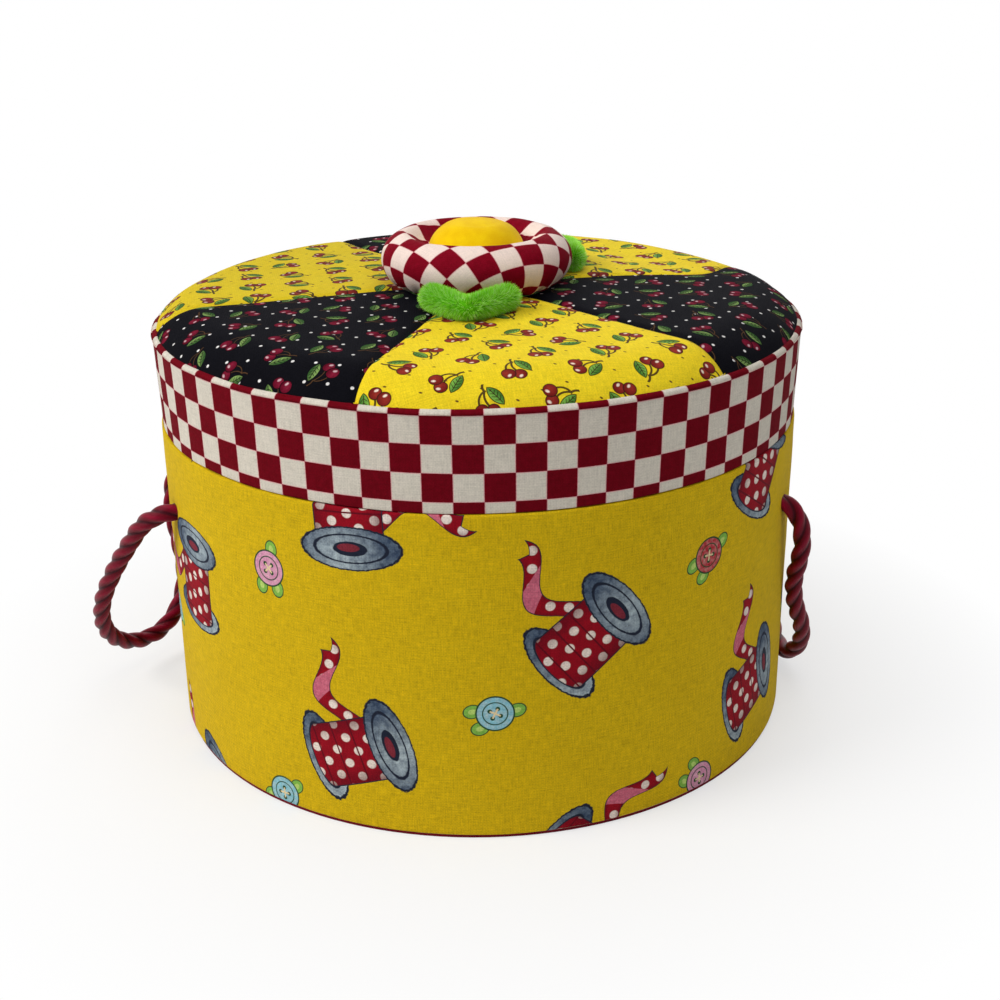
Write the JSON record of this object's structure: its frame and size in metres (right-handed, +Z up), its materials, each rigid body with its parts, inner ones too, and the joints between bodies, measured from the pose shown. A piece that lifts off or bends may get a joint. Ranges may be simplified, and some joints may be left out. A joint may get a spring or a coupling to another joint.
{
  "type": "sewing box",
  "caption": "Round cloth-covered sewing box with a padded lift-off lid, flower pincushion, hanging tray and two cord handles.",
  "frame": {"origin": "centre of the round face that the box stands on", "axes": "+Z up through the middle of the box, -Y towards the front, so that the cord handles are on -X and +X"},
  "size_m": [0.2992, 0.254, 0.1994],
  "materials": {
    "printed_cotton": "plain woven printed cotton, stretched over card",
    "check_cotton": "plain woven cotton with a printed crimson and off-white check",
    "yellow_cherry_cotton": "plain woven yellow cotton with small cherries",
    "black_cherry_cotton": "plain woven black cotton with small cherries and white dots",
    "red_cotton": "plain woven dark red cotton",
    "card": "grey-brown pressed card",
    "wadding": "white polyester wadding",
    "felt": "green felt",
    "yellow_fleece": "brushed yellow cloth",
    "chenille": "lime green chenille pile",
    "cord": "satin twisted cord",
    "tray_plastic": "moulded white plastic"
  },
  "bodies": {
    "drum": {"bottom_panel": "red_cotton", "floor_board": "card", "wall_board": "card", "wall_cover": "printed_cotton", "collar": "card", "drum_lining": "red_cotton", "floor_pad_card": "card", "floor_pad": "red_cotton", "left_front_knot": "cord", "left_rear_knot": "cord", "right_front_knot": "cord", "right_rear_knot": "cord"},
    "lid": {"lid_band_card": "card", "lid_top_card": "card", "lid_lining_card": "red_cotton", "lid_band_lining": "red_cotton", "lid_band_cover": "check_cotton", "lid_pad": "wadding", "patch_front": "yellow_cherry_cotton", "patch_right": "black_cherry_cotton", "patch_back_right": "yellow_cherry_cotton", "patch_back": "black_cherry_cotton", "patch_back_left": "yellow_cherry_cotton", "patch_left": "black_cherry_cotton", "flower_felt": "felt", "pincushion_ring": "check_cotton", "pincushion_centre": "yellow_fleece", "front_leaf": "chenille", "side_leaf": "chenille"},
    "tray": {"tray_centre_cup": "tray_plastic", "tray_rim": "tray_plastic", "tray_divider_1": "tray_plastic", "tray_divider_2": "tray_plastic", "tray_divider_3": "tray_plastic", "tray_divider_4": "tray_plastic", "tray_divider_5": "tray_plastic", "tray_divider_6": "tray_plastic"},
    "left_handle": {"left_handle_loop": "cord"},
    "right_handle": {"right_handle_loop": "cord"}
  },
  "joints": [
    {"name": "lid_lift", "type": "slide", "parent": "drum", "child": "lid", "axis": [0, 0, 1], "range_m": [0, 0.2]},
    {"name": "tray_lift", "type": "slide", "parent": "drum", "child": "tray", "axis": [0, 0, 1], "range_m": [0, 0.1]},
    {"name": "left_handle_swing", "type": "hinge", "parent": "drum", "child": "left_handle", "pos_m": [-0.11983, 0, 0.098], "axis": [0, 1, 0], "range_deg": [0, 100]},
    {"name": "right_handle_swing", "type": "hinge", "parent": "drum", "child": "right_handle", "pos_m": [0.11983, 0, 0.098], "axis": [0, -1, 0], "range_deg": [0, 100]}
  ],
  "couplings": [
    {"joint": "tray_lift", "follows": "lid_lift", "ratio": 0.5}
  ]
}
